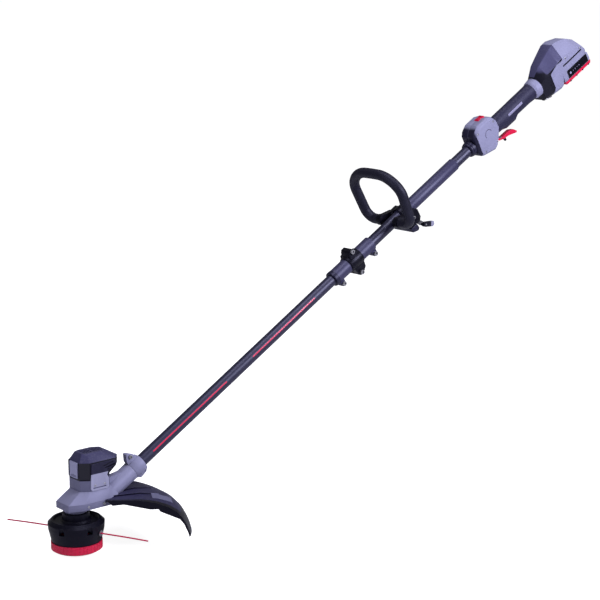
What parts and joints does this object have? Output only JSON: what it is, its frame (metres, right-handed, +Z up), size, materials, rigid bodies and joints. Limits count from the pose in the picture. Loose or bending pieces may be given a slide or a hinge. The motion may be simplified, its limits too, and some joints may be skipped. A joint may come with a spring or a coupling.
{
  "type": "cordless string trimmer",
  "caption": "Cordless string trimmer with a tap-feed line head, a curved guard, a two-part shaft, a loop handle and a battery housing behind the grip.",
  "frame": {"origin": "centre of the tap knob's flat bottom face, on the spool's axis", "axes": "+Z up along the spool's axis; +X the way the shaft rises towards the operator; the shaft lies in the XZ plane"},
  "size_m": [1.5518, 0.3196, 0.9631],
  "materials": {
    "dark_plastic": "fine grained black",
    "red_plastic": "satin crimson",
    "grey_plastic": "fine textured lavender grey",
    "panel_plastic": "fine textured light grey",
    "gloss_black": "glossy black",
    "guard_plastic": "satin dark slate",
    "line_nylon": "translucent red nylon",
    "spool_plastic": "moulded black",
    "tube_metal": "gloss black powder coat",
    "bright_steel": "zinc plated",
    "gear_plastic": "natural nylon",
    "plate_alloy": "die cast",
    "motor_steel": "dull steel",
    "cable_rubber": "flexible sheath",
    "grip_rubber": "soft moulded"
  },
  "bodies": {
    "upper_unit": {"upper_tube": "tube_metal", "upper_cable": "cable_rubber", "upper_socket": "dark_plastic", "coupler_sleeve": "dark_plastic", "coupler_end_ring": "dark_plastic", "coupler_bolts": "bright_steel", "coupler_clamp": "dark_plastic", "handle_sleeve": "grip_rubber", "control_shell_left": "grey_plastic", "control_shell_right": "grey_plastic", "nose_collar": "dark_plastic", "control_pins": "bright_steel", "main_switch": "dark_plastic", "grip": "grip_rubber", "rear_collar": "grey_plastic", "front_hood": "grey_plastic", "rear_shell_left": "grey_plastic", "rear_shell_right": "grey_plastic", "controller_module": "plate_alloy"},
    "lower_unit": {"lower_tube": "tube_metal", "lower_plug": "dark_plastic", "lower_cable": "cable_rubber", "neck_clamp": "grey_plastic", "head_base": "grey_plastic", "head_cover": "grey_plastic", "gear_plate": "plate_alloy", "motor_can": "motor_steel", "spindle_bearings": "bright_steel", "motor_cover": "grey_plastic", "vent_panels": "panel_plastic", "front_grille": "panel_plastic", "corner_panels": "gloss_black", "guard": "guard_plastic", "cutter_blade": "bright_steel"},
    "cutting_head": {"spindle": "bright_steel", "spool_gear": "gear_plastic", "spool_housing": "dark_plastic", "spool_cover": "red_plastic", "line_eyelets": "bright_steel", "line_tail_near": "line_nylon", "line_tail_far": "line_nylon"},
    "tap_feed": {"tap_knob": "dark_plastic", "line_spool": "spool_plastic", "wound_line": "line_nylon", "tap_spring": "bright_steel"},
    "rotor": {"motor_rotor": "motor_steel", "motor_pinion": "bright_steel"},
    "coupler_lever": {"clamp_lever": "dark_plastic"},
    "loop": {"loop_handle": "tube_metal", "handle_clamp": "dark_plastic", "handle_jaw": "dark_plastic", "handle_pin": "bright_steel"},
    "loop_lever": {"handle_lever": "grey_plastic"},
    "speed_switch": {"speed_rocker": "red_plastic"},
    "trigger": {"trigger": "red_plastic"},
    "trigger_lock": {"trigger_lock": "dark_plastic"},
    "battery": {"battery_case": "dark_plastic", "battery_base": "red_plastic"},
    "battery_button": {"battery_latch": "red_plastic"},
    "strap_ring": {"strap_ring": "bright_steel"}
  },
  "joints": [
    {"name": "tube_slide", "type": "slide", "parent": "upper_unit", "child": "lower_unit", "axis": [-0.8581, 0, -0.5135], "range_m": [0, 0.055]},
    {"name": "head_spin", "type": "hinge", "parent": "lower_unit", "child": "cutting_head", "pos_m": [0, 0, 0.05], "axis": [0, 0, 1], "continuous": true},
    {"name": "tap_slide", "type": "slide", "parent": "cutting_head", "child": "tap_feed", "axis": [0, 0, 1], "range_m": [0, 0.005], "stiffness_N_per_m": 2500, "springref_m": -0.004, "deforming": ["tap_spring"]},
    {"name": "rotor_spin", "type": "hinge", "parent": "lower_unit", "child": "rotor", "pos_m": [0.031, 0, 0.14], "axis": [0, 0, 1], "continuous": true},
    {"name": "coupler_lever_swing", "type": "hinge", "parent": "upper_unit", "child": "coupler_lever", "pos_m": [0.75248, 0.021, 0.47539], "axis": [0, -1, 0], "range_deg": [-75, 0]},
    {"name": "loop_slide", "type": "slide", "parent": "upper_unit", "child": "loop", "axis": [0.8581, 0, 0.5135], "range_m": [0, 0.16]},
    {"name": "loop_lever_swing", "type": "hinge", "parent": "loop", "child": "loop_lever", "pos_m": [0.9186, -0.041, 0.56781], "axis": [0, 1, 0], "range_deg": [0, 70]},
    {"name": "speed_rock", "type": "hinge", "parent": "upper_unit", "child": "speed_switch", "pos_m": [1.13433, 0, 0.78375], "axis": [0, 1, 0], "range_deg": [-4, 4]},
    {"name": "trigger_squeeze", "type": "hinge", "parent": "upper_unit", "child": "trigger", "pos_m": [1.18342, 0, 0.74262], "axis": [0, -1, 0], "range_deg": [0, 12], "stiffness_Nm_per_rad": 0.6, "springref_deg": -8.59},
    {"name": "lock_tilt", "type": "hinge", "parent": "trigger", "child": "trigger_lock", "pos_m": [1.21411, 0, 0.74001], "axis": [0, -1, 0], "range_deg": [0, 18], "stiffness_Nm_per_rad": 0.02, "springref_deg": -17.19},
    {"name": "battery_slide", "type": "slide", "parent": "upper_unit", "child": "battery", "axis": [0.8581, 0, 0.5135], "range_m": [0, 0.105]},
    {"name": "battery_button_push", "type": "slide", "parent": "battery", "child": "battery_button", "axis": [-0.8581, 0, -0.5135], "range_m": [0, 0.003], "stiffness_N_per_m": 400, "springref_m": -0.002},
    {"name": "strap_ring_swing", "type": "hinge", "parent": "upper_unit", "child": "strap_ring", "pos_m": [1.35329, 0, 0.82098], "axis": [0, 1, 0], "range_deg": [0, 60]}
  ],
  "couplings": [
    {"joint": "rotor_spin", "follows": "head_spin", "ratio": -3.4286}
  ]
}
